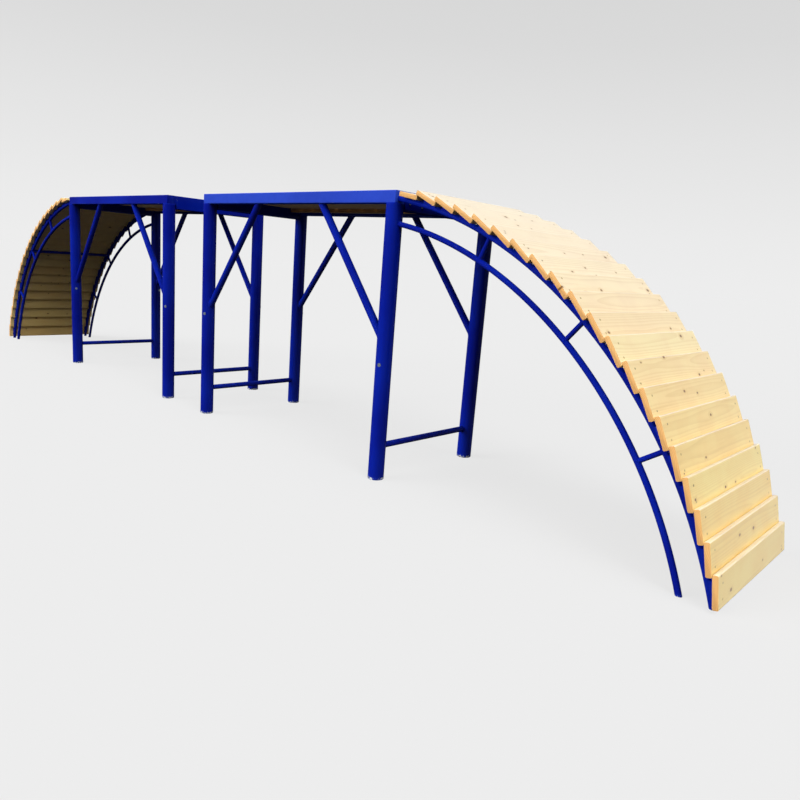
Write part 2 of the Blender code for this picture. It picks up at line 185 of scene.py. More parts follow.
def weld_bead(shell, path, size, closed=True):
    """A rippled bead of weld metal along a joint."""
    ends = path[1:] + path[:1] if closed else path[1:]
    stops = []
    for start, end in zip(path, ends):
        steps = max(1, round((end - start).length / (BEAD_PITCH / 3)))
        stops += [start.lerp(end, step / steps) for step in range(steps)]
    if not closed:
        stops.append(path[-1])
    rings = []
    run = 0.0
    side = None
    for k, stop in enumerate(stops):
        after = stops[(k + 1) % len(stops)] if closed or k + 1 < len(stops) else stop
        before = stops[k - 1] if closed or k else stop
        along = (after - before).normalized()
        side = along.orthogonal() if side is None else side - along * side.dot(along)
        side = side.normalized()
        run += (stop - before).length
        radius = size * (1 + BEAD_RIPPLE * math.sin(2 * math.pi * run / BEAD_PITCH))
        if not closed and k in (0, len(stops) - 1):
            radius = size * BEAD_END_SHARE
        rings.append(shell.ring(circle(stop, side, along.cross(side), radius, BEAD_SIDES)))
    shell.skin(rings, closed)


def leg_shell(end):
    """A leg from its sawn foot to its closed top; its origin is on the ground in its middle."""
    shell = Shell()
    profile = [(height, LEG_RADIUS - loss, wear) for height, loss, wear in LEG_FOOT]
    profile += [(height, LEG_RADIUS, 0.0) for height in LEG_STOPS]
    profile += [(LEG_TOP - depth, LEG_RADIUS - loss, wear) for depth, loss, wear in LEG_HEAD]
    lathe(shell, Vector((0, 0, 0)), Z_AXIS, profile, LEG_SIDES)
    outer = -INWARD[end] * END_RAIL_WIDTH / 2
    inner = INWARD[end] * math.sqrt(LEG_RADIUS**2 - (SIDE_RAIL_SIZE / 2)**2)
    edges = (-SIDE_RAIL_SIZE / 2, SIDE_RAIL_SIZE / 2)
    seams = [[Vector((outer, y, LEG_TOP)), Vector((inner, y, LEG_TOP))] for y in edges]
    seams.append([Vector((outer, y, LEG_TOP)) for y in edges])
    for seam in seams:
        weld_bead(shell, seam, LEG_WELD, closed=False)
    return shell


class Reading:
    """One value of a pattern of nodes. Arithmetic on it adds Math nodes to the pattern."""

    def __init__(self, pattern, socket):
        self.pattern = pattern
        self.socket = socket

    def maths(self, operation, *terms):
        settings = {"operation": operation}
        return self.pattern.node("ShaderNodeMath", settings, dict(enumerate(terms)))["Value"]

    def __add__(self, other):
        return self.maths("ADD", self, other)

    __radd__ = __add__

    def __sub__(self, other):
        return self.maths("SUBTRACT", self, other)

    def __rsub__(self, other):
        return self.maths("SUBTRACT", other, self)

    def __mul__(self, other):
        return self.maths("MULTIPLY", self, other)

    __rmul__ = __mul__

    def __truediv__(self, other):
        return self.maths("DIVIDE", self, other)

    def __rtruediv__(self, other):
        return self.maths("DIVIDE", other, self)

    def __pow__(self, other):
        return self.maths("POWER", self, other)

    def __rpow__(self, other):
        return self.maths("POWER", other, self)

    def __abs__(self):
        return self.maths("ABSOLUTE", self)

    def fraction(self):
        return self.maths("FRACT", self)

    def at_least(self, least):
        return self.maths("MAXIMUM", self, least)

    def at_most(self, most):
        return self.maths("MINIMUM", self, most)

    def between(self, low, high):
        """0 below low and 1 above high, eased in between; low may be the greater."""
        settings = {"interpolation_type": "SMOOTHSTEP"}
        sockets = {"Value": self, "From Min": low, "From Max": high}
        return self.pattern.node("ShaderNodeMapRange", settings, sockets)["Result"]


class Pattern:
    """A tree of nodes in which readings are worked out."""

    def __init__(self, tree):
        self.tree = tree

    def feed(self, socket, value):
        if isinstance(value, Reading):
            self.tree.links.new(value.socket, socket)
        else:
            socket.default_value = value

    def node(self, kind, settings, sockets):
        """Any node: its settings first, then values or readings for its sockets in use."""
        made = self.tree.nodes.new(kind)
        stops = settings.pop("stops", None)
        for setting, value in settings.items():
            setattr(made, setting, value)
        if stops:
            ramp = made.color_ramp
            while len(ramp.elements) < len(stops):
                ramp.elements.new(1)
            for element, (position, colour) in zip(ramp.elements, stops):
                element.position = position
                element.color = colour
        in_use = [socket for socket in made.inputs if socket.enabled]
        for key, value in sockets.items():
            if isinstance(key, int):
                self.feed(in_use[key], value)
            else:
                self.feed(next(socket for socket in in_use if socket.name == key), value)
        return {out.name: Reading(self, out) for out in made.outputs if out.enabled}

    def mix(self, share, first, second):
        sockets = {"Factor": share, "A": first, "B": second}
        return self.node("ShaderNodeMix", {"data_type": "RGBA"}, sockets)["Result"]

    def vector(self, operation, *terms):
        made = self.node("ShaderNodeVectorMath", {"operation": operation}, dict(enumerate(terms)))
        return made.get("Vector") or made["Value"]

    def split(self, vector):
        made = self.node("ShaderNodeSeparateXYZ", {}, {"Vector": vector})
        return made["X"], made["Y"], made["Z"]

    def join(self, x, y, z):
        return self.node("ShaderNodeCombineXYZ", {}, {"X": x, "Y": y, "Z": z})["Vector"]

    def attribute(self, name, output="Fac"):
        return self.node("ShaderNodeAttribute", {"attribute_name": name}, {})[output]

    def place(self):
        """Where a point lies in its piece, and the same moved by the piece's own shift."""
        here = self.node("ShaderNodeTexCoord", {}, {})["Object"]
        return here, self.vector("ADD", here, self.attribute("shift", "Vector"))

    def noise(self, place, scale, detail=2.0, roughness=0.5):
        sockets = {"Vector": place, "Scale": scale, "Detail": detail, "Roughness": roughness}
        return self.node("ShaderNodeTexNoise", {}, sockets)["Fac"]

    def stretch(self, place, by):
        return self.vector("MULTIPLY", place, by)

    def bump(self, height, distance):
        sockets = {"Strength": 1.0, "Distance": distance, "Height": height}
        return self.node("ShaderNodeBump", {}, sockets)["Normal"]


class Finish(Pattern):
    """A surface finish made of nodes that end in one Principled shader."""

    def __init__(self, name, **constants):
        self.material = bpy.data.materials.new(name)
        self.material.use_nodes = True
        super().__init__(self.material.node_tree)
        self.shader = self.tree.nodes["Principled BSDF"]
        for socket, value in constants.items():
            self.shader.inputs[socket.replace("_", " ")].default_value = value

    def finish(self, **sockets):
        for name, value in sockets.items():
            self.feed(self.shader.inputs[name.replace("_", " ")], value)
        return self.material


def gloss_blue_paint(name, fade_and_sheen):
    """Thick gloss paint: deep ultramarine with orange peel, runs, film dust and a few chips.

    Fade and sheen, from 0 to 1, lifts the blue towards a paler blue: a little of it is fading
    by sun and paws, and much of it is a painted sheen of light.
    """
    deep = (0.0006, 0.0045, 0.195, 1)
    fresh = (0.0014, 0.0110, 0.270, 1)
    pale_wear_and_sheen_blue = (0.0300, 0.0750, 0.520, 1)
    primer = (0.500, 0.530, 0.550, 1)
    rust = (0.150, 0.060, 0.026, 1)
    paint = Finish(name, Coat_Roughness=0.08, Specular_IOR_Level=0.0)
    _, place = paint.place()
    cloud = paint.noise(place, 2.6, 3.0)
    grime = paint.noise(place, 34.0, 4.0, 0.6)
    runs = paint.noise(paint.stretch(place, (60, 60, 4)), 1.0, 2.0)
    flecks = paint.noise(place, 160.0, 3.0, 0.6)
    _, _, up = paint.split(paint.node("ShaderNodeNewGeometry", {}, {})["Normal"])
    lying = up.between(0.45, 0.95)
    colour = paint.mix(cloud.between(0.35, 0.65), deep, fresh)
    colour = paint.mix(runs.between(0.56, 0.72) * 0.25, colour, deep)
    # Paler patches towards a pale blue: real fading when the share is small, a painted sheen of
    # light when it is large.
    fade_and_sheen_patches = cloud * 0.35 + grime * 0.30 + 0.42
    dust = lying * grime.between(0.38, 0.66) * 0.30
    colour = paint.mix((fade_and_sheen_patches * fade_and_sheen + dust).at_most(1.0), colour, pale_wear_and_sheen_blue)
    rub = paint.attribute("wear")
    rubbed = (rub * 0.55 + grime * 0.6).between(0.62, 0.90)
    colour = paint.mix(rubbed * 0.22, colour, pale_wear_and_sheen_blue)
    chipped = (rub * 0.50 + flecks * 0.52 + grime * 0.35).between(0.930, 0.950)
    bare = paint.mix(grime.between(0.58, 0.70), primer, rust)
    colour = paint.mix(chipped, colour, bare)
    gloss = cloud * 0.08 + grime * 0.10 + dust * 0.5 + 0.12 + fade_and_sheen * 0.14
    roughness = gloss + chipped * 0.40 + rubbed * 0.10
    peel = paint.noise(place, 420.0, 1.0)
    relief = peel * 0.35 + cloud * 2.2 + runs * 0.25 - chipped * 1.6
    return paint.finish(Base_Color=colour, Roughness=roughness,
                        Coat_Weight=up.between(-0.80, -0.30) * (1 - chipped) * 0.06,
                        Normal=paint.bump(relief, 0.00028))


BLUE_PAINT = gloss_blue_paint("gloss_blue_paint", 0.02)


def plated_steel(name, dull, bright):
    """Plated steel of bolts and screws, spangled between two tones and stained by weather."""
    zinc = Finish(name, Metallic=1.0)
    _, place = zinc.place()
    spangle = zinc.noise(place, 260.0, 3.0, 0.6)
    stain = zinc.noise(place, 70.0, 2.0)
    colour = zinc.mix(spangle, dull, bright)
    colour = zinc.mix(stain.between(0.50, 0.72) * 0.7, colour, (0.085, 0.070, 0.055, 1))
    return zinc.finish(Base_Color=colour, Roughness=spangle * 0.2 + 0.32,
                       Normal=zinc.bump(spangle, 0.00012))


ZINC = plated_steel("dulled_zinc", (0.070, 0.090, 0.120, 1), (0.220, 0.250, 0.300, 1))


# Shares of the head's height with shares of its width for the washer, and of its reach to a
# corner for the hexagon.
WASHER_STOPS = ((0.10, 0.64), (0.16, 0.61))
HEXAGON_STOPS = ((0.12, 0.98), (0.22, 1.0), (0.80, 1.0), (1.0, 0.88))
WASHER_ROOT = 0.003
WASHER_SIDES = 28


def hex_bolt(shell, foot, axis, width, height):
    """A hexagon head on its washer, which stands on a face along an axis."""
    first, second = square_to(axis)
    washer = [(-WASHER_ROOT, width * WASHER_STOPS[0][1], 0.0)]
    washer += [(height * share, width * spread, 0.0) for share, spread in WASHER_STOPS]
    lathe(shell, foot, axis, washer, WASHER_SIDES)
    reach = width / math.sqrt(3)
    shell.skin([shell.ring(circle(foot + axis * height * share, first, second, reach * spread, 6))
                for share, spread in HEXAGON_STOPS])


for half in HALF_PLACES:
    for end, leg_x in LEG_XS.items():
        turn, bolt_height = LEG_BOLTS[half, end]
        for leg_y in (-LEG_Y, LEG_Y):
            node = f"{half}_leg_{end}_{side_of(half, leg_y)}"
            stand = Matrix.Translation((leg_x, leg_y, 0))
            put_in_half(node + "_tube", leg_shell(end), BLUE_PAINT, half, "blue_paint", node,
                        at=stand)
            bolt = Shell()
            to_near_end = math.radians(turn if half == "near" else -turn)
            outwards = math.copysign(math.cos(to_near_end), leg_y)
            out = X_AXIS * math.sin(to_near_end) + Y_AXIS * outwards
            bolt_foot = out * (LEG_RADIUS - LEG_BOLT_SINK) + Z_AXIS * bolt_height
            hex_bolt(bolt, bolt_foot, out, LEG_BOLT_WIDTH, LEG_BOLT_HEIGHT)
            put_in_half(node + "_bolt", bolt, ZINC, half, None, node, at=stand)


# PLATFORM RAILS
# A welded rectangle of square steel tube carries the deck: two side rails lie along over the
# legs, and a deeper end rail is let in between them, and between the legs' tops, at each end.
# Flat ledges inside the side rails hold the deck up. The near half's side rails are painted paler,
# as a painted sheen of the light on them.

END_RAIL_DEPTH = 0.075
RAIL_CORNER = 0.004
LEDGE_WIDTH = 0.030
LEDGE_THICKNESS = 0.005
DECK_THICKNESS = 0.018
RAIL_INNER_Y = PLATFORM_WIDTH / 2 - SIDE_RAIL_SIZE
BESIDE_LEG_Y = LEG_Y - LEG_RADIUS - SEAT_GAP
CORNER_STEPS = 4
CORNER_WEAR = 0.75
RUB_WIDTH = 0.004
RUB_MOST_SHARE = 0.6
BAR_STEP = 0.18
# Distance in from a bar's end and loss of width, both as multiples of its ease, and wear.
BAR_END = ((0.0, 2.0, 0.7), (0.35, 0.6, 0.7), (1.0, 0.0, 0.7), (4.0, 0.0, 0.3), (14.0, 0.0, 0.0))
RAIL_EASE = 0.0015
RAIL_WELD = 0.0022
SEAM_SINK = 0.0006
SEAM_INSET = 0.002
NOTCH_EASE = 0.002
LEDGE_EASE = 0.0004
LEDGE_CORNER = 0.0008
LEDGE_WELD = 0.0028
LEDGE_STITCHES = 6
LEDGE_STITCH_LENGTH = 0.040
# Places across and up of two small bolts in the rail at the ramp's end.
RAMP_END_BOLTS = ((-0.2475, 1.155), (-0.1746, 1.149))
RAIL_BOLT_WIDTH = 0.008
RAIL_BOLT_HEIGHT = 0.0062
RAIL_BOLT_SINK = 0.0004

# A paler copy of the blue paint: a painted sheen of light on the near side rails.
SHEEN_LIT_PAINT = gloss_blue_paint("sheen_lit_blue_paint", 0.85)


def bar_outline(width, height, corner):
    """Outline of a bar with rounded corners: across, up and wear for each point."""
    outline = []
    for quarter, (side, top) in enumerate(((1, 1), (-1, 1), (-1, -1), (1, -1))):
        middle = Vector((side * (width / 2 - corner), top * (height / 2 - corner)))
        turns = [math.pi / 2 * (quarter + k / CORNER_STEPS) for k in range(CORNER_STEPS + 1)]
        arc = [middle + corner * Vector((math.cos(turn), math.sin(turn))) for turn in turns]
        rub = min(RUB_WIDTH, (min(width, height) / 2 - corner) * RUB_MOST_SHARE)
        before = arc[0] - rub * Vector((-math.sin(turns[0]), math.cos(turns[0])))
        after = arc[-1] + rub * Vector((-math.sin(turns[-1]), math.cos(turns[-1])))
        outline.append((*before, 0.0))
        outline += [(*point, CORNER_WEAR) for point in arc]
        outline.append((*after, 0.0))
    return outline


def bar(shell, start, along, across, up, stations, corner):
    """A bar through stations of distance, width, height, rise and wear, closed at both ends."""
    rings = []
    for distance, width, height, rise, wear in stations:
        middle = start + along * distance + up * rise
        outline = bar_outline(width, height, corner)
        points = [middle + across * a + up * b for a, b, _ in outline]
        rings.append(shell.ring(points, [max(wear, rub) for _, _, rub in outline]))
    shell.skin(rings)


def plain_stations(length, width, height, ease):
    """Stations of a bar of one section whose ends are eased."""
    near = [(at * ease, loss * ease, wear) for at, loss, wear in BAR_END]
    far = [(length - at, loss, wear) for at, loss, wear in reversed(near)]
    steps = max(1, round(length / BAR_STEP))
    between = [(length * step / steps, 0.0, 0.0) for step in range(1, steps)]
    inside = [stop for stop in between if near[-1][0] < stop[0] < far[0][0]]
    return [(at, width - loss, height - loss, 0.0, wear) for at, loss, wear in near + inside + far]


def end_rail_shell(leg_x):
    """An end rail with its notches for the legs, and the welds on its four upright joints."""
    shell = Shell()
    shallow = (SIDE_RAIL_SIZE, (END_RAIL_DEPTH - SIDE_RAIL_SIZE) / 2)
    eased = (END_RAIL_DEPTH - NOTCH_EASE, NOTCH_EASE / 2)
    deep = (END_RAIL_DEPTH, 0.0)
    # Distance from the middle, section and wear, from a side rail past the leg's notch inwards.
    half_rail = [(RAIL_INNER_Y, shallow, 0.2), (RAIL_INNER_Y - 0.002, shallow, 0.0),
                 (BESIDE_LEG_Y + 0.0002, shallow, 0.5), (BESIDE_LEG_Y, eased, 0.8),
                 (BESIDE_LEG_Y - 0.0015, deep, 0.8), (BESIDE_LEG_Y - 0.010, deep, 0.0),
                 (0.12, deep, 0.0)]
    whole = [(-y, size, wear) for y, size, wear in half_rail]
    whole += [(y, size, wear) for y, size, wear in reversed(half_rail)]
    stations = [(y, END_RAIL_WIDTH, depth, rise, wear) for y, (depth, rise), wear in whole]
    start = Vector((leg_x, 0, PLATFORM_HEIGHT - END_RAIL_DEPTH / 2))
    bar(shell, start, Y_AXIS, -X_AXIS, Z_AXIS, stations, RAIL_CORNER)
    underside = PLATFORM_HEIGHT - END_RAIL_DEPTH
    joints = ((RAIL_INNER_Y, (LEG_TOP + RAIL_CORNER, PLATFORM_HEIGHT - RAIL_CORNER - 0.0005)),
              (BESIDE_LEG_Y, (underside + SEAM_INSET, LEG_TOP - SEAM_INSET)))
    for side in (-1, 1):
        for face in (-1, 1):
            x = leg_x + face * (END_RAIL_WIDTH / 2 - SEAM_SINK)
            for y, heights in joints:
                seam = [Vector((x, side * y, z)) for z in heights]
                weld_bead(shell, seam, RAIL_WELD, closed=False)
    return shell


for half in HALF_PLACES:
    frame_node = half + "_platform_frame"
    for rail_y in (-LEG_Y, LEG_Y):
        side = side_of(half, rail_y)
        rail = Shell()
        start = Vector((0, rail_y, PLATFORM_HEIGHT - SIDE_RAIL_SIZE / 2))
        stations = plain_stations(PLATFORM_LENGTH, SIDE_RAIL_SIZE, SIDE_RAIL_SIZE, RAIL_EASE)
        bar(rail, start, X_AXIS, Y_AXIS, Z_AXIS, stations, RAIL_CORNER)
        # The near half's rails take the paler copy, a painted sheen of light.
        paint = SHEEN_LIT_PAINT if half == "near" else BLUE_PAINT
        put_in_half(f"{half}_side_rail_{side}", rail, paint, half, "blue_paint", frame_node)
        ledge = Shell()
        ledge_y = math.copysign(RAIL_INNER_Y - LEDGE_WIDTH / 2, rail_y)
        ledge_z = PLATFORM_HEIGHT - DECK_THICKNESS - SEAT_GAP - LEDGE_THICKNESS / 2
        ledge_length = PLATFORM_LENGTH - 2 * END_RAIL_WIDTH
        start = Vector((END_RAIL_WIDTH, ledge_y, ledge_z))
        stations = plain_stations(ledge_length, LEDGE_WIDTH, LEDGE_THICKNESS, LEDGE_EASE)
        bar(ledge, start, X_AXIS, Y_AXIS, Z_AXIS, stations, LEDGE_CORNER)
        for stitch in range(LEDGE_STITCHES):
            middle = END_RAIL_WIDTH + ledge_length * (stitch + 0.5) / LEDGE_STITCHES
            seam = [Vector((middle + run, math.copysign(RAIL_INNER_Y, rail_y),
                            ledge_z - LEDGE_THICKNESS / 2))
                    for run in (-LEDGE_STITCH_LENGTH / 2, LEDGE_STITCH_LENGTH / 2)]
            weld_bead(ledge, seam, LEDGE_WELD, closed=False)
        put_in_half(f"{half}_deck_ledge_{side}", ledge, BLUE_PAINT, half, "blue_paint", frame_node)
    for end, leg_x in LEG_XS.items():
        put_in_half(f"{half}_end_rail_{end}", end_rail_shell(leg_x), BLUE_PAINT, half,
                    "blue_paint", frame_node)
    bolts = Shell()
    for bolt_y, bolt_z in RAMP_END_BOLTS:
        foot = Vector((PLATFORM_LENGTH - RAIL_BOLT_SINK, bolt_y, bolt_z))
        hex_bolt(bolts, foot, X_AXIS, RAIL_BOLT_WIDTH, RAIL_BOLT_HEIGHT)
    put_in_half(half + "_end_rail_bolts", bolts, ZINC, half, None, frame_node)


# KNEE BRACES
# Four slanting braces of thinner round tube stiffen each platform: each is cut to a leg's curve
# below and cut flat under a side rail above, and welded all round at both ends.

BRACE_RADIUS = 0.0337 / 2
BRACE_REACH = 0.450
BRACE_FOOT_HEIGHT = 0.580
BRACE_WELD = 0.0028
BRACE_LET_IN = 0.0005
RAIL_UNDERSIDE = PLATFORM_HEIGHT - SIDE_RAIL_SIZE
# How far any tube's cut end is sunk into what it is welded to.
LET_IN = 0.0003
TUBE_SIDES = 32
TUBE_STEP = 0.09
TUBE_END_LENGTH = 0.012
TUBE_END_WEAR = 0.35
BEAD_STAND_OFF = 0.2


def cut_flat(point, normal):
    """Slides a point along its tube to a flat cut."""
    def slide(start, direction):
        return start + direction * ((point - start).dot(normal) / direction.dot(normal))
    return slide


def cut_to_round(foot, axis, reach):
    """Slides a point along its tube to the side of a round post."""
    def slide(start, direction):
        across = start - foot
        across -= axis * across.dot(axis)
        run = direction - axis * direction.dot(axis)
        a = run.length_squared
        b = across.dot(run)
        c = across.length_squared - reach**2
        root = math.sqrt(max(0.0, b * b - a * c))
        nearest = min(((-b - root) / a, (-b + root) / a), key=abs)
        return start + direction * nearest
    return slide


def cut_tube(start, end, radius, start_cut, end_cut, bead, sides=TUBE_SIDES):
    """A straight tube whose ends are cut to what they meet, with a weld round each end."""
    shell = Shell()
    length = (end - start).length
    along = (end - start).normalized()
    first, second = square_to(along)
    head = [start_cut(point, along) for point in circle(start, first, second, radius, sides)]
    tail = [end_cut(point, along) for point in circle(end, first, second, radius, sides)]
    rings = [shell.ring(head, TUBE_END_WEAR)]
    steps = max(2, round(length / TUBE_STEP))
    for step in range(steps + 1):
        at = TUBE_END_LENGTH + step / steps * (length - 2 * TUBE_END_LENGTH)
        points = [low.lerp(high, at / length) for low, high in zip(head, tail)]
        rings.append(shell.ring(points))
    rings.append(shell.ring(tail, TUBE_END_WEAR))
    shell.skin(rings)
    outwards = along * bead * BEAD_STAND_OFF
    weld_bead(shell, [point - outwards for point in head], bead)
    weld_bead(shell, [point + outwards for point in tail], bead)
    return shell


for half in HALF_PLACES:
    for end, leg_x in LEG_XS.items():
        for leg_y in (-LEG_Y, LEG_Y):
            top = Vector((leg_x + INWARD[end] * BRACE_REACH, leg_y, RAIL_UNDERSIDE))
            crossing = Vector((leg_x, leg_y, BRACE_FOOT_HEIGHT))
            slope = (top - crossing).normalized()
            foot = crossing + slope * (LEG_RADIUS / abs(slope.x))
            to_leg = cut_to_round(Vector((leg_x, leg_y, 0)), Z_AXIS, LEG_RADIUS - LET_IN)
            to_rail = cut_flat(top + Z_AXIS * BRACE_LET_IN, Z_AXIS)
            brace = cut_tube(foot, top, BRACE_RADIUS, to_leg, to_rail, BRACE_WELD)
            put_in_half(f"{half}_knee_brace_{end}_{side_of(half, leg_y)}", brace, BLUE_PAINT,
                        half, "blue_paint", half + "_platform_frame")


# GROUND BARS
# A thin round tube low down ties the two legs of each end together. It is cut to the legs' curve
# and welded round at both ends, as the braces are.

GROUND_BAR_RADIUS = 0.0269 / 2
GROUND_BAR_HEIGHT = 0.145
GROUND_BAR_WELD = 0.0024

for half in HALF_PLACES:
    for end, leg_x in LEG_XS.items():
        ends = [Vector((0, side * (LEG_Y - LEG_RADIUS), GROUND_BAR_HEIGHT)) for side in (-1, 1)]
        cuts = [cut_to_round(Vector((0, side * LEG_Y, 0)), Z_AXIS, LEG_RADIUS - LET_IN)
                for side in (-1, 1)]
        tie = cut_tube(*ends, GROUND_BAR_RADIUS, *cuts, GROUND_BAR_WELD)
        name = f"{half}_ground_bar_{end}"
        put_in_half(name + "_tube", tie, BLUE_PAINT, half, "blue_paint", name,
                    at=Matrix.Translation((leg_x, 0, 0)))


# ARCHED TRUSSES
# Under each side of a ramp stands a truss of two thin steel tubes bent to one centre and tied by
# three short struts. A crossbar joins the two trusses half way down, and bent steel brackets on
# the outer tube hold each board at its slant.

ARCH_RUN = 1.392
ARCH_RADIUS = 1.721
ARCH_DROP = 0.003
CHORD_RADIUS = 0.0213 / 2
CHORD_SPACING = 0.095
CHORD_STEPS = 96
CHORD_WELD = 0.0024
CHORD_WELD_INSET = 0.3
# Wear of a bent tube's rings, counted up from its sawn foot.
CHORD_FOOT_WEAR = {0: 1.0, 1: 0.45, 2: 0.45}
STRUT_RADIUS = 0.0172 / 2
STRUT_COUNT = 3
STRUT_WELD = 0.0020
CROSSBAR_WELD = 0.0022
THIN_TUBE_SIDES = 24
BOARD_THICKNESS = 0.018
BOARD_WIDTH = 0.105
FIRST_BOARD_WIDTH = 0.094
BOARD_LEAST_LAP = 0.005
FIRST_BOARD_GAP = 0.028
BOARD_GROUND_CLEARANCE = 0.012
BRACKET_WIDTH = 0.020
BRACKET_PLATE = 0.0025
BRACKET_NOSE = 0.012
BRACKET_SHORT = 0.017
PLATE_EASE = 0.0004
PLATE_WEAR = 0.5
ARCH_START = Vector((PLATFORM_LENGTH + SEAT_GAP, 0,
                     PLATFORM_HEIGHT - ARCH_DROP - BOARD_THICKNESS - SEAT_GAP - CHORD_RADIUS))


def arch_centre():
    """Centre of both tubes' arcs, from where the outer one starts and where it stands."""
    foot = Vector((ARCH_START.x + ARCH_RUN, 0, 0))
    half_span = (foot - ARCH_START) / 2
    inward = Vector((half_span.z, 0, -half_span.x)).normalized()
    return ARCH_START + half_span + inward * math.sqrt(ARCH_RADIUS**2 - half_span.length_squared)


ARCH_CENTRE = arch_centre()


def arch_point(radius, angle):
    """Point of an arc about the arch's centre; the angle runs from straight up downhill."""
    return ARCH_CENTRE + Vector((radius * math.sin(angle), 0, radius * math.cos(angle)))


def arch_tangent(angle):
    return Vector((math.cos(angle), 0, -math.sin(angle)))


def angle_at_x(radius, x):
    return math.asin((x - ARCH_CENTRE.x) / radius)


def angle_at_z(radius, z):
    return math.acos((z - ARCH_CENTRE.z) / radius)


def board_angle(point):
    return math.atan2(point.x - ARCH_CENTRE.x, point.z - ARCH_CENTRE.z)


def ramp_boards():
    """Lower inner corner, downhill and outward directions of every ramp board.

    The first lies flat on the tubes, about level with the platform. Every other has its lower
    edge on the tubes and its upper edge over the board above it.
    """
    seat_radius = ARCH_RADIUS + CHORD_RADIUS + SEAT_GAP
    upper_end_x = PLATFORM_LENGTH + FIRST_BOARD_GAP
    first_middle = angle_at_x(seat_radius, upper_end_x) + FIRST_BOARD_WIDTH / seat_radius / 2
    downhill = arch_tangent(first_middle)
    outward = arch_point(1, first_middle) - ARCH_CENTRE
    corner = arch_point(seat_radius, first_middle) + downhill * FIRST_BOARD_WIDTH / 2
    corner += downhill * (upper_end_x - (corner - downhill * FIRST_BOARD_WIDTH).x) / downhill.x
    places = [(corner, downhill, outward)]
    start = board_angle(corner)
    end = angle_at_z(seat_radius, BOARD_GROUND_CLEARANCE)
    widest_pitch = math.sqrt((BOARD_WIDTH - BOARD_LEAST_LAP)**2 - BOARD_THICKNESS**2)
    count = math.ceil((end - start) * seat_radius / widest_pitch)
    pitch = (end - start) / count
    for number in range(1, count + 1):
        lap_point = corner + outward * (BOARD_THICKNESS + SEAT_GAP)
        corner = arch_point(seat_radius, start + pitch * number)
        downhill = (corner - lap_point).normalized()
        outward = Vector((-downhill.z, 0, downhill.x))
        places.append((corner, downhill, outward))
    return places


RAMP_BOARDS = ramp_boards()


def bent_tube(radius, first_angle, last_angle, first_cut):
    """A truss tube bent to an arc: its upper end is welded on, its foot is sawn at the ground."""
    shell = Shell()
    to_ground = cut_flat(Vector((0, 0, 0)), Z_AXIS)
    rings = []
    for step in range(CHORD_STEPS + 1):
        angle = first_angle + (last_angle - first_angle) * step / CHORD_STEPS
        outward = arch_point(1, angle) - ARCH_CENTRE
        ring = circle(arch_point(radius, angle), outward, Y_AXIS, CHORD_RADIUS, THIN_TUBE_SIDES)
        if step == 0:
            ring = [first_cut(point, arch_tangent(angle)) for point in ring]
            head = ring
        if step == CHORD_STEPS:
            ring = [to_ground(point, arch_tangent(angle)) for point in ring]
        rings.append(shell.ring(ring, CHORD_FOOT_WEAR.get(CHORD_STEPS - step, 0.0)))
    shell.skin(rings)
    downhill = arch_tangent(first_angle) * CHORD_WELD * CHORD_WELD_INSET
    weld_bead(shell, [point + downhill for point in head], CHORD_WELD)
    return shell


def inset(outline, by):
    """Moves a flat outline's corners inwards, evenly from all its edges."""
    moved = []
    for index, corner in enumerate(outline):
        back = (outline[index - 1] - corner).normalized()
        on = (outline[(index + 1) % len(outline)] - corner).normalized()
        moved.append(corner + (back + on) * by / max(0.2, back.cross(on).length))
    return moved


def plate(shell, outline, middle, thickness):
    """A plate of even thickness with eased edges, its outline drawn in the plane across y."""
    reach = thickness / 2
    smaller = inset(outline, PLATE_EASE)
    layers = ((-reach, smaller), (PLATE_EASE - reach, outline), (reach - PLATE_EASE, outline),
              (reach, smaller))
    shell.skin([shell.ring([corner + Y_AXIS * (middle + at) for corner in corners], PLATE_WEAR)
                for at, corners in layers])


def bracket_shell(above, place):
    """A bracket on the outer tube: a web, two shorter cheeks and the flange under the board."""
    corner, downhill, outward = place
    above_corner, above_downhill, _ = above
    face_point = corner - outward * SEAT_GAP
    face_bottom = face_point - downhill * BRACKET_NOSE
    root_bottom = arch_point(ARCH_RADIUS, board_angle(corner))
    root_bottom -= arch_tangent(board_angle(corner)) * BRACKET_NOSE
    root = arch_point(ARCH_RADIUS, board_angle(above_corner))
    under = outward * BRACKET_PLATE
    shell = Shell()
    cheek_y = (BRACKET_WIDTH - BRACKET_PLATE) / 2
    for middle, short in ((-cheek_y, BRACKET_SHORT), (0.0, 2 * SEAT_GAP), (cheek_y, BRACKET_SHORT)):
        end_cut = cut_flat(above_corner + above_downhill * short, above_downhill)
        outline = [end_cut(root, downhill), end_cut(face_point, downhill), face_bottom, root_bottom]
        plate(shell, outline, middle, BRACKET_PLATE)
    face_top = outline[1]
    plate(shell, [face_top - under, face_top, face_bottom, face_bottom - under], 0.0,
          BRACKET_WIDTH - 2 * BRACKET_PLATE + PLATE_EASE)
    return shell


OUTER_START = angle_at_x(ARCH_RADIUS, ARCH_START.x)
OUTER_END = angle_at_z(ARCH_RADIUS, 0)
INNER_RADIUS = ARCH_RADIUS - CHORD_SPACING
INNER_START = angle_at_x(INNER_RADIUS, LEG_XS["ramp"] + LEG_RADIUS)
INNER_END = angle_at_z(INNER_RADIUS, 0)
TO_PLATFORM_END = cut_flat(Vector((PLATFORM_LENGTH - LET_IN, 0, 0)), X_AXIS)
TO_LEG_SIDE = cut_to_round(Vector((LEG_XS["ramp"], 0, 0)), Z_AXIS, LEG_RADIUS - LET_IN)

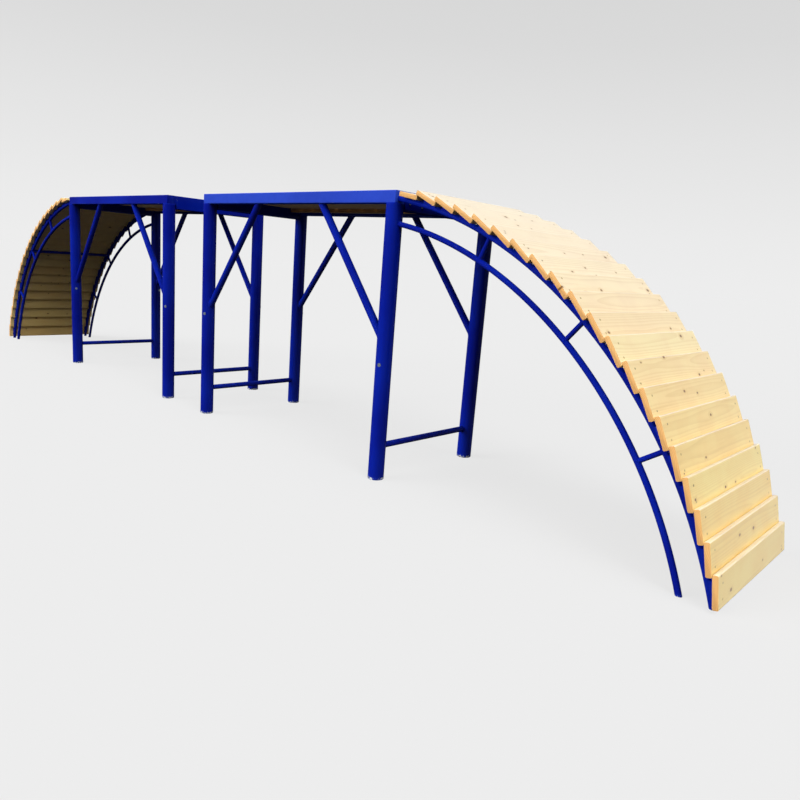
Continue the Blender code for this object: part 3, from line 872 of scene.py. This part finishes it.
for half in HALF_PLACES:
    for truss_y in (-LEG_Y, LEG_Y):
        truss_node = f"{half}_truss_{side_of(half, truss_y)}"
        pieces = {
            "outer_tube": bent_tube(ARCH_RADIUS, OUTER_START, OUTER_END, TO_PLATFORM_END),
            "inner_tube": bent_tube(INNER_RADIUS, INNER_START, INNER_END, TO_LEG_SIDE),
        }
        for number in range(1, STRUT_COUNT + 1):
            angle = OUTER_START + (OUTER_END - OUTER_START) * number / (STRUT_COUNT + 1)
            inner, outer = arch_point(INNER_RADIUS, angle), arch_point(ARCH_RADIUS, angle)
            outward = (outer - inner).normalized()
            cuts = [cut_to_round(point, arch_tangent(angle), CHORD_RADIUS - LET_IN)
                    for point in (inner, outer)]
            pieces[f"strut_{number}"] = cut_tube(
                inner + outward * CHORD_RADIUS, outer - outward * CHORD_RADIUS, STRUT_RADIUS,
                *cuts, STRUT_WELD, THIN_TUBE_SIDES)
        for number in range(1, len(RAMP_BOARDS)):
            above, place = RAMP_BOARDS[number - 1], RAMP_BOARDS[number]
            pieces[f"bracket_{number + 1:02d}"] = bracket_shell(above, place)
        for piece_name, shell in pieces.items():
            put_in_half(f"{truss_node}_{piece_name}", shell, BLUE_PAINT, half, "blue_paint",
                        truss_node, at=Matrix.Translation((0, truss_y, 0)))
    half_way = (OUTER_START + OUTER_END) / 2
    middle = arch_point(ARCH_RADIUS, half_way)
    ends = [middle + Y_AXIS * side * (LEG_Y - CHORD_RADIUS) for side in (-1, 1)]
    cuts = [cut_to_round(middle + Y_AXIS * side * LEG_Y, arch_tangent(half_way),
                         CHORD_RADIUS - LET_IN) for side in (-1, 1)]
    crossbar = cut_tube(*ends, CHORD_RADIUS, *cuts, CROSSBAR_WELD, THIN_TUBE_SIDES)
    put_in_half(half + "_truss_crossbar", crossbar, BLUE_PAINT, half, "blue_paint",
                f"{half}_truss_{side_of(half, LEG_Y)}")


# RAMP BOARDS
# Twenty planed pine boards cross each ramp. The first lies flat; each of the others has its upper
# edge over the board above, like clapboards, which gives the dog a row of low steps to grip.
# They are softwood with small knots, rounded along the edges and screwed down over each truss.

BOARD_LENGTH = 0.690
BOARD_LENGTH_SCATTER = 0.0022
BOARD_EDGE_RADIUS = 0.004
BOARD_EASE = 0.0007
SCREW_FROM_LOWER_EDGE = 0.026
SCREW_FROM_UPPER_EDGE = 0.030
SCREW_STRAY = 0.004
SCREW_RADIUS = 0.0038
SCREW_SIDES = 18
# Height above the wood, radius and wear, from inside the wood to the driver's recess.
SCREW_PROFILE = ((-0.0030, 0.0018, 0.0), (0.0, SCREW_RADIUS, 0.0),
                 (SEAT_GAP, SCREW_RADIUS - 0.0004, 0.0), (SEAT_GAP, 0.0018, 0.0),
                 (0.00005, 0.0011, 0.0))
board_habits = random.Random(5)


def planed_pine(name, pale, warm, dark, sawn, weathering):
    """Planed softwood: growth rings cut along the board, fine fibres, knots and end grain."""
    knot_core = (0.150, 0.060, 0.020, 1)
    knot_rim = (0.300, 0.150, 0.045, 1)
    end_pale = (0.690, 0.360, 0.135, 1)
    end_dark = (0.440, 0.190, 0.055, 1)
    # Pale cream of the painted sheen on faces turned up.
    sheen_cream = (0.960, 0.880, 0.760, 1)
    grey = (0.420, 0.370, 0.290, 1)
    pine = Finish(name, Specular_IOR_Level=0.12, Coat_Roughness=0.26)
    here, place = pine.place()
    shift_x, shift_y, shift_z = pine.split(pine.attribute("shift", "Vector"))
    across, along, up = pine.split(here)
    _, facing_y, facing_up = pine.split(pine.node("ShaderNodeNewGeometry", {}, {})["Normal"])
    cut_end = abs(facing_y).between(0.60, 0.80)
    # Faces not turned down: planed and smoother, and free of the painted shade below.
    planed_and_unshaded = facing_up.between(-0.15, 0.10)
    knot_place = pine.join(across * 13.0 + shift_x * 5.0, along * 8.0 + shift_y * 5.0, 0.0)
    settings = {"feature": "F1", "voronoi_dimensions": "2D"}
    knots = pine.node("ShaderNodeTexVoronoi", settings, {"Vector": knot_place, "Scale": 1.0,
                                                         "Randomness": 0.9})
    chance, size, _ = pine.split(knots["Color"])
    has_knot = chance.between(0.60, 0.62)
    knot_radius = size * size * 0.050 + 0.028
    knot = knots["Distance"] / knot_radius
    near_knot = knot.between(3.8, 0.4) * has_knot
    wander = pine.noise(pine.stretch(place, (2.0, 1.1, 2.0)), 1.0, 2.0)
    pith_x = across + 0.05 + shift_x * 0.006
    pith_z = up + 0.055 + shift_z * 0.005
    radius = (pith_x * pith_x + pith_z * pith_z)**0.5 + wander * 0.030 + near_knot * 0.005
    ring = (radius * 210.0).fraction()
    late_wood = ring.between(0.35, 0.93) * ring.between(1.0, 0.95)
    fibre = pine.noise(pine.stretch(place, (620.0, 7.0, 620.0)), 1.0, 3.0, 0.6)
    streak = pine.noise(pine.stretch(place, (55.0, 1.6, 55.0)), 1.0, 2.0)
    patch = pine.noise(place, 7.0, 3.0, 0.55)
    tone = (shift_x * 0.731 + shift_y * 0.417).fraction()
    colour = pine.mix(tone * 0.62 + patch.between(0.32, 0.70) * 0.38, pale, warm)
    # Faces turned up are lifted towards pale cream: a painted sheen of light, less on weathered
    # wood.
    up_facing_sheen = facing_up.between(0.28, 0.88) * (0.75 * (1 - weathering))
    colour = pine.mix(up_facing_sheen, colour, sheen_cream)
    # Faces turned down are darkened towards a deep brown: painted shade under the boards.
    colour = pine.mix((1 - planed_and_unshaded) * 0.55, colour, sawn)
    colour = pine.mix(late_wood * 0.17, colour, dark)
    colour = pine.mix(streak.between(0.56, 0.76) * 0.16, colour, dark)
    colour = pine.mix(fibre.between(0.58, 0.80) * 0.12, colour, dark)
    end_colour = pine.mix(late_wood * 0.55 + fibre * 0.20, end_pale, end_dark)
    colour = pine.mix(cut_end * 0.85, colour, end_colour)
    colour = pine.mix(near_knot * 0.28, colour, dark)
    colour = pine.mix(knot.between(1.30, 0.90) * has_knot * 0.70, colour, knot_rim)
    colour = pine.mix(knot.between(0.90, 0.50) * has_knot * 0.85, colour, knot_core)
    rub = pine.attribute("wear")
    handled = (rub * 0.6 + patch * 0.6).between(0.62, 0.95)
    colour = pine.mix(handled * 0.12, colour, dark)
    soil = patch.between(0.44, 0.75) * facing_up.between(0.2, 0.9) * weathering
    colour = pine.mix(soil, colour, grey)
    roughness = fibre * 0.14 - late_wood * 0.06 + patch * 0.12 + 0.80 - planed_and_unshaded * 0.34
    dent = knot.between(1.1, 0.9) * has_knot * 0.5
    relief = fibre * 0.45 + late_wood * 0.4 - dent + patch * 1.4
    return pine.finish(Base_Color=colour, Roughness=roughness,
                       Coat_Weight=planed_and_unshaded * (1 - cut_end) * (1 - weathering),
                       Normal=pine.bump(relief, 0.00035))


RAMP_PINE = planed_pine("planed_ramp_pine", (0.930, 0.750, 0.280, 1), (0.900, 0.605, 0.210, 1),
                        (0.600, 0.330, 0.090, 1), (0.660, 0.440, 0.165, 1), 0.06)
YELLOW_ZINC = plated_steel("yellow_zinc", (0.360, 0.230, 0.080, 1), (0.640, 0.460, 0.190, 1))


def board_shell(start, length, width, thickness):
    """A board from its start along y, with rounded long edges and eased ends."""
    shell = Shell()
    stations = plain_stations(length, width, thickness, BOARD_EASE)
    bar(shell, start, Y_AXIS, -X_AXIS, Z_AXIS, stations, BOARD_EDGE_RADIUS)
    return shell


def screw_heads(places):
    """Countersunk screw heads, a hair above a board's face, each with its driver's recess."""
    shell = Shell()
    for place in places:
        lathe(shell, place, Z_AXIS, SCREW_PROFILE, SCREW_SIDES)
    return shell


for half in HALF_PLACES:
    for number, (corner, downhill, outward) in enumerate(RAMP_BOARDS, start=1):
        width = FIRST_BOARD_WIDTH if number == 1 else BOARD_WIDTH
        lie = Matrix((downhill, Y_AXIS, outward)).transposed().to_4x4()
        lie.translation = corner
        node = f"{half}_board_{number:02d}"
        short_front = board_habits.uniform(0, BOARD_LENGTH_SCATTER)
        short_back = board_habits.uniform(0, BOARD_LENGTH_SCATTER)
        start = Vector((-width / 2, short_front - BOARD_LENGTH / 2, BOARD_THICKNESS / 2))
        length = BOARD_LENGTH - short_front - short_back
        put_in_half(node + "_wood", board_shell(start, length, width, BOARD_THICKNESS), RAMP_PINE,
                    half, "ramp_pine", node, at=lie)
        heads = []
        for screw_y in (-LEG_Y, LEG_Y):
            for from_edge in (SCREW_FROM_LOWER_EDGE, width - SCREW_FROM_UPPER_EDGE):
                aside = board_habits.uniform(-SCREW_STRAY, SCREW_STRAY)
                heads.append(Vector((-from_edge, screw_y + aside, BOARD_THICKNESS)))
        put_in_half(node + "_screws", screw_heads(heads), YELLOW_ZINC, half, None, node, at=lie)


# DECKS
# Between the rails of each platform lies a level deck of pine boards across, screwed to two
# battens and dropped in on the ledges, so that its top is flush with the steel. Weather and
# paws have greyed the boards' tops; the battens and the boards' undersides are painted near
# black, as painted shade under the deck.

DECK_BOARD_WIDTH = 0.095
DECK_LEAST_GAP = 0.003
DECK_SIDE_CLEARANCE = 0.002
DECK_SCREW_REACH = 0.024
BATTEN_WIDTH = 0.045
BATTEN_DEPTH = 0.020
BATTEN_CORNER = 0.002
DECK_HALF_LENGTH = PLATFORM_LENGTH / 2 - END_RAIL_WIDTH - DECK_SIDE_CLEARANCE
DECK_HALF_WIDTH = RAIL_INNER_Y - DECK_SIDE_CLEARANCE
DECK_COUNT = int((2 * DECK_HALF_LENGTH + DECK_LEAST_GAP) / (DECK_BOARD_WIDTH + DECK_LEAST_GAP))
DECK_PITCH = (2 * DECK_HALF_LENGTH - DECK_BOARD_WIDTH) / (DECK_COUNT - 1)
BATTEN_Y = DECK_HALF_WIDTH - LEDGE_WIDTH - BATTEN_WIDTH / 2

# The battens are painted near black all over: painted shade under the deck.
SHADED_BATTEN_PINE = planed_pine("shaded_batten_pine", (0.150, 0.100, 0.055, 1),
                          (0.105, 0.066, 0.034, 1), (0.060, 0.036, 0.018, 1),
                          (0.090, 0.058, 0.030, 1), 0.20)
# The fourth colour, near black, is painted shade on the undersides of the deck boards.
DECK_PINE = planed_pine("weathered_deck_pine", (0.780, 0.600, 0.350, 1), (0.700, 0.480, 0.240, 1),
                        (0.500, 0.280, 0.110, 1), (0.140, 0.092, 0.045, 1), 0.45)

for half in HALF_PLACES:
    node = half + "_deck"
    lie = Matrix.Translation((PLATFORM_LENGTH / 2, 0, PLATFORM_HEIGHT))
    heads = []
    for index in range(DECK_COUNT):
        middle_x = -DECK_HALF_LENGTH + DECK_PITCH * index + DECK_BOARD_WIDTH / 2
        start = Vector((0, -DECK_HALF_WIDTH, -DECK_THICKNESS / 2))
        board = board_shell(start, 2 * DECK_HALF_WIDTH, DECK_BOARD_WIDTH, DECK_THICKNESS)
        put_in_half(f"{node}_board_{index + 1:02d}", board, DECK_PINE, half, "deck_pine", node,
                    at=lie @ Matrix.Translation((middle_x, 0, -SEAT_GAP)))
        for side in (-1, 1):
            for from_middle in (-DECK_SCREW_REACH, DECK_SCREW_REACH):
                heads.append(Vector((middle_x + from_middle, side * BATTEN_Y, -SEAT_GAP)))
    for side in (-1, 1):
        batten = Shell()
        start = Vector((-DECK_HALF_LENGTH, 0, 0))
        stations = plain_stations(2 * DECK_HALF_LENGTH, BATTEN_WIDTH, BATTEN_DEPTH, BOARD_EASE)
        bar(batten, start, X_AXIS, Y_AXIS, Z_AXIS, stations, BATTEN_CORNER)
        place = Matrix.Translation((0, side * BATTEN_Y, -DECK_THICKNESS - BATTEN_DEPTH / 2))
        put_in_half(f"{node}_batten_{side_of(half, side)}", batten, SHADED_BATTEN_PINE, half,
                    "deck_pine", node, at=lie @ place)
    put_in_half(node + "_screws", screw_heads(heads), YELLOW_ZINC, half, None, node, at=lie)


# CAMERA
# The photograph is taken from beyond the near ramp's foot, a little under the platform's height,
# with the camera leaning slightly.

CAMERA_PLACE = Vector((3.5496, -2.2869, 0.9257))
CAMERA_AZIMUTH = -0.7465
CAMERA_ELEVATION = -0.2039
CAMERA_ROLL = 0.0769
FOCAL_PIXELS = 668.0
PICTURE_PIXELS = 800
SENSOR_WIDTH = 36.0


def camera_axes():
    """Right, up and forward directions of the camera."""
    level = math.cos(CAMERA_ELEVATION)
    forward = Vector((math.sin(CAMERA_AZIMUTH) * level, math.cos(CAMERA_AZIMUTH) * level,
                      math.sin(CAMERA_ELEVATION)))
    right = Vector((math.cos(CAMERA_AZIMUTH), -math.sin(CAMERA_AZIMUTH), 0))
    up = right.cross(forward)
    leaning_right = right * math.cos(CAMERA_ROLL) + up * math.sin(CAMERA_ROLL)
    leaning_up = up * math.cos(CAMERA_ROLL) - right * math.sin(CAMERA_ROLL)
    return leaning_right, leaning_up, forward


lens = bpy.data.cameras.new("camera")
lens.sensor_width = SENSOR_WIDTH
lens.lens = FOCAL_PIXELS / PICTURE_PIXELS * SENSOR_WIDTH
lens.clip_start = 0.01
camera = bpy.data.objects.new("camera", lens)
bpy.context.scene.collection.objects.link(camera)
right, up, forward = camera_axes()
stand = Matrix((right, up, -forward)).transposed().to_4x4()
stand.translation = CAMERA_PLACE
camera.matrix_world = stand
bpy.context.scene.camera = camera
bpy.context.scene.view_settings.view_transform = "Standard"


# STUDIO
# A plain pale floor runs out to a plain pale backdrop that is a little greyer higher up. Wide soft
# light comes from the left and from above the near ramp; the floor sends little of it back up.

FLOOR_GREY = 237
BACKDROP_GREYS = ((0.000, 237), (0.060, 235), (0.170, 228), (0.290, 218), (0.450, 211), (1.0, 205))
FLOOR_OWN_GLOW = 0.86
FLOOR_LIGHT = 1.30
FLOOR_REACH = 60.0
FLOOR_DROP = 0.0005
UNSEEN_FLOOR = (0.030, 0.030, 0.032, 1)
# Direction that the light comes from, strength and narrowness.
SOFT_LIGHTS = (((-0.50, -0.82, 0.28), 12.0, 16.0), ((0.58, -0.24, 0.78), 9.4, 16.0))
SKY_LEAST = 0.10


def linear_grey(grey):
    """A grey as written on a screen, from 0 to 255, as the light that it stands for."""
    value = ((grey / 255 + 0.055) / 1.055)**2.4
    return (value, value, value, 1)


def seen_directly(pattern):
    """1 for what the camera sees itself, or in something glossy or clear."""
    path = pattern.node("ShaderNodeLightPath", {}, {})
    seen = path["Is Camera Ray"] + path["Is Glossy Ray"] + path["Is Transmission Ray"]
    return seen.at_most(1.0)


floor_mesh = bpy.data.meshes.new("studio_floor")
floor_corners = [(-1, -1), (1, -1), (1, 1), (-1, 1)]
floor_mesh.from_pydata([(x * FLOOR_REACH, y * FLOOR_REACH, 0) for x, y in floor_corners], [],
                       [(0, 1, 2, 3)])
floor = bpy.data.objects.new("studio_floor", floor_mesh)
bpy.context.scene.collection.objects.link(floor)
floor.location = (0, 0, -FLOOR_DROP)
pale = linear_grey(FLOOR_GREY)
paper = Finish("studio_floor_paper", Roughness=0.9, Specular_IOR_Level=0.0,
               Emission_Strength=FLOOR_OWN_GLOW)
paper.finish(Base_Color=[value * (1 - FLOOR_OWN_GLOW) / FLOOR_LIGHT for value in pale[:3]] + [1],
             Emission_Color=pale)
dark_floor = paper.node("ShaderNodeBsdfDiffuse", {}, {"Color": UNSEEN_FLOOR})["BSDF"]
pale_floor = Reading(paper, paper.shader.outputs["BSDF"])
shown = paper.node("ShaderNodeMixShader", {}, {0: seen_directly(paper), 1: dark_floor,
                                               2: pale_floor})["Shader"]
paper.feed(paper.tree.nodes["Material Output"].inputs["Surface"], shown)
floor_mesh.materials.append(paper.material)

world = bpy.data.worlds.new("studio")
world.use_nodes = True
bpy.context.scene.world = world
studio = Pattern(world.node_tree)
direction = studio.node("ShaderNodeTexCoord", {}, {})["Generated"]
light = SKY_LEAST
for lamp_direction, strength, narrowness in SOFT_LIGHTS:
    lamp = Vector(lamp_direction).normalized()
    towards = studio.vector("DOT_PRODUCT", direction, lamp).at_least(0.0)
    light = towards**narrowness * strength + light
_, _, height = studio.split(direction)
stops = [(at, linear_grey(grey)) for at, grey in BACKDROP_GREYS]
grey = studio.node("ShaderNodeValToRGB", {"stops": stops}, {"Fac": height})["Color"]
sky = studio.mix(seen_directly(studio), studio.join(light, light, light), grey)
studio.feed(world.node_tree.nodes["Background"].inputs["Color"], sky)
